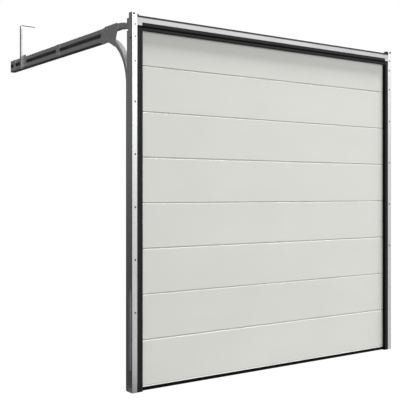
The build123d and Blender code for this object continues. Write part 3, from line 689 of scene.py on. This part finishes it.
def floor_material():
    """Pale floor: lit by the lamps, and white to the camera; the metal sees it dim to the back."""
    paint = new_paint("studio_floor")
    paint.shade(
        colour=(FLOOR_ALBEDO, FLOOR_ALBEDO, FLOOR_ALBEDO, 1),
        roughness=FLOOR_ROUGHNESS,
        specular=0.0,
    )
    place = paint.add("ShaderNodeTexCoord").outputs["Object"]
    camera_ray, seen = paint.rays()
    level = paint.falloff(place, DARK_SIDE, FLOOR_DIM_FROM, FLOOR_DIM_TO, 0.0, FLOOR_SHINE)
    strength = paint.mix(camera_ray, level, FLOOR_GLOW, kind="FLOAT")
    glow = paint.add("ShaderNodeEmission", {"Strength": strength}).outputs["Emission"]
    share = paint.math("MULTIPLY", seen, FLOOR_SHARE)
    surface = paint.mix_shaders(share, paint.shader.outputs["BSDF"], glow)
    paint.put(paint.nodes["Material Output"].inputs["Surface"], surface)
    return paint.owner


def build_floor():
    """A flat square just under the door."""
    corners = [
        (-FLOOR_REACH, -FLOOR_REACH, 0),
        (FLOOR_REACH, -FLOOR_REACH, 0),
        (FLOOR_REACH, FLOOR_REACH, 0),
        (-FLOOR_REACH, FLOOR_REACH, 0),
    ]
    mesh = bpy.data.meshes.new("floor")
    mesh.from_pydata(corners, [], [(0, 1, 2, 3)])
    mesh.materials.append(floor_material())
    ground = add_object("floor", mesh)
    ground.location.z = -FLOOR_DROP
    return ground


floor = build_floor()


def build_world():
    """A white studio, with its light in front and to the right and a dark flag at the back left."""
    world = bpy.data.worlds.new("studio")
    bpy.context.scene.world = world
    sky = Tree(world)
    sky.nodes.clear()
    direction = sky.add("ShaderNodeTexCoord").outputs["Generated"]
    ambient = sky.falloff(
        direction, AMBIENT_AWAY, AMBIENT_FROM, AMBIENT_TO, AMBIENT_DIM, AMBIENT_FULL
    )
    flagged = sky.falloff(direction, DARK_SIDE, FLAG_FROM, FLAG_TO, FLAG_LEVEL, WHITE)
    camera_ray, seen = sky.rays()
    shown = sky.mix(camera_ray, flagged, WHITE, kind="FLOAT")
    lights = []
    for strength in (ambient, shown):
        inputs = {"Color": (1, 1, 1, 1), "Strength": strength}
        lights.append(sky.add("ShaderNodeBackground", inputs).outputs["Background"])
    sky.add("ShaderNodeOutputWorld", {"Surface": sky.mix_shaders(seen, *lights)})


build_world()


# Lamps
DOOR_MIDDLE = (MIDDLE_X, 0, 1.1)
KEY = {"place": (3.9, -5.2, 4.1), "size": (4.4, 2.2), "power": 150}
BACK = {"place": (2.6, 5.4, 3.4), "size": (4.0, 2.6), "power": 190}
WASH_FROM = Vector((0.26, -0.088, 1.0))
WASH_ANGLE = math.radians(17)
WASH_STRENGTH = 13.6
WASHED_NODES = (
    "bottom_section",
    "lower_middle_section",
    "upper_middle_section",
    "top_section",
    "bottom_rail",
)
WINDOW_SIZE = (0.6, 0.6)
WINDOW_POWER = 150
WINDOW_LAMP = {"reach": 2.6, "depth": -1.7, "height": 1.0}
WINDOW_HEIGHT = 0.4


def area_light(name, place, target, size, power):
    data = bpy.data.lights.new(name, "AREA")
    data.shape = "RECTANGLE"
    data.size, data.size_y = size
    data.energy = power
    lamp = add_object(name, data)
    lamp.location = place
    lamp.rotation_mode = "QUATERNION"
    lamp.rotation_quaternion = (Vector(target) - Vector(place)).to_track_quat("-Z", "Y")
    return lamp


def sun_light(name, from_direction, angle, strength):
    data = bpy.data.lights.new(name, "SUN")
    data.energy = strength
    data.angle = angle
    lamp = add_object(name, data)
    lamp.rotation_mode = "QUATERNION"
    lamp.rotation_quaternion = from_direction.to_track_quat("Z", "Y")
    return lamp


def light_only(lamp, pieces):
    """Let a lamp reach only these pieces."""
    receivers = bpy.data.collections.new(f"{lamp.name}_receivers")
    for piece in pieces:
        receivers.objects.link(piece)
    lamp.light_linking.receiver_collection = receivers


area_light("key", KEY["place"], DOOR_MIDDLE, KEY["size"], KEY["power"])

# A soft sun that grazes the leaf from above, so that the frame's shadow falls on its top
wash = sun_light("wash", WASH_FROM, WASH_ANGLE, WASH_STRENGTH)
light_only(wash, [nodes[name] for name in WASHED_NODES])

# Small lamps from each side that reach the springs through the windows in the posts
for side, way in SIDES:
    place = (
        MIDDLE_X + way * (MIDDLE_X + WINDOW_LAMP["reach"]),
        WINDOW_LAMP["depth"],
        WINDOW_LAMP["height"],
    )
    target = (MIDDLE_X + way * MIDDLE_X, 0, WINDOW_HEIGHT)
    window = area_light(f"{side}_window", place, target, WINDOW_SIZE, WINDOW_POWER)
    light_only(window, [spring_coils[side]])

# A soft lamp behind the door, which leaves the floor in front of it alone
back = area_light("back", BACK["place"], DOOR_MIDDLE, BACK["size"], BACK["power"])
light_only(back, [obj for obj in bpy.data.objects if obj.type == "MESH" and obj != floor])


# Camera fitted to the photograph, which is 400 pixels wide and high
PHOTO_SIDE = 400
SENSOR = 36.0
FOCAL_PIXELS = 782.0
HORIZON_ROW = 193.0
CAMERA_PLACE = (-2.284, -3.821, 1.135)
CAMERA_HEADING = math.radians(-35.6)

camera_data = bpy.data.cameras.new("camera")
camera_data.sensor_width = SENSOR
camera_data.lens = FOCAL_PIXELS / PHOTO_SIDE * SENSOR
camera_data.shift_y = (HORIZON_ROW - PHOTO_SIDE / 2) / PHOTO_SIDE
camera = add_object("camera", camera_data)
camera.location = CAMERA_PLACE
camera.rotation_euler = (math.pi / 2, 0, CAMERA_HEADING)
bpy.context.scene.camera = camera

bpy.context.scene.view_settings.view_transform = "Standard"
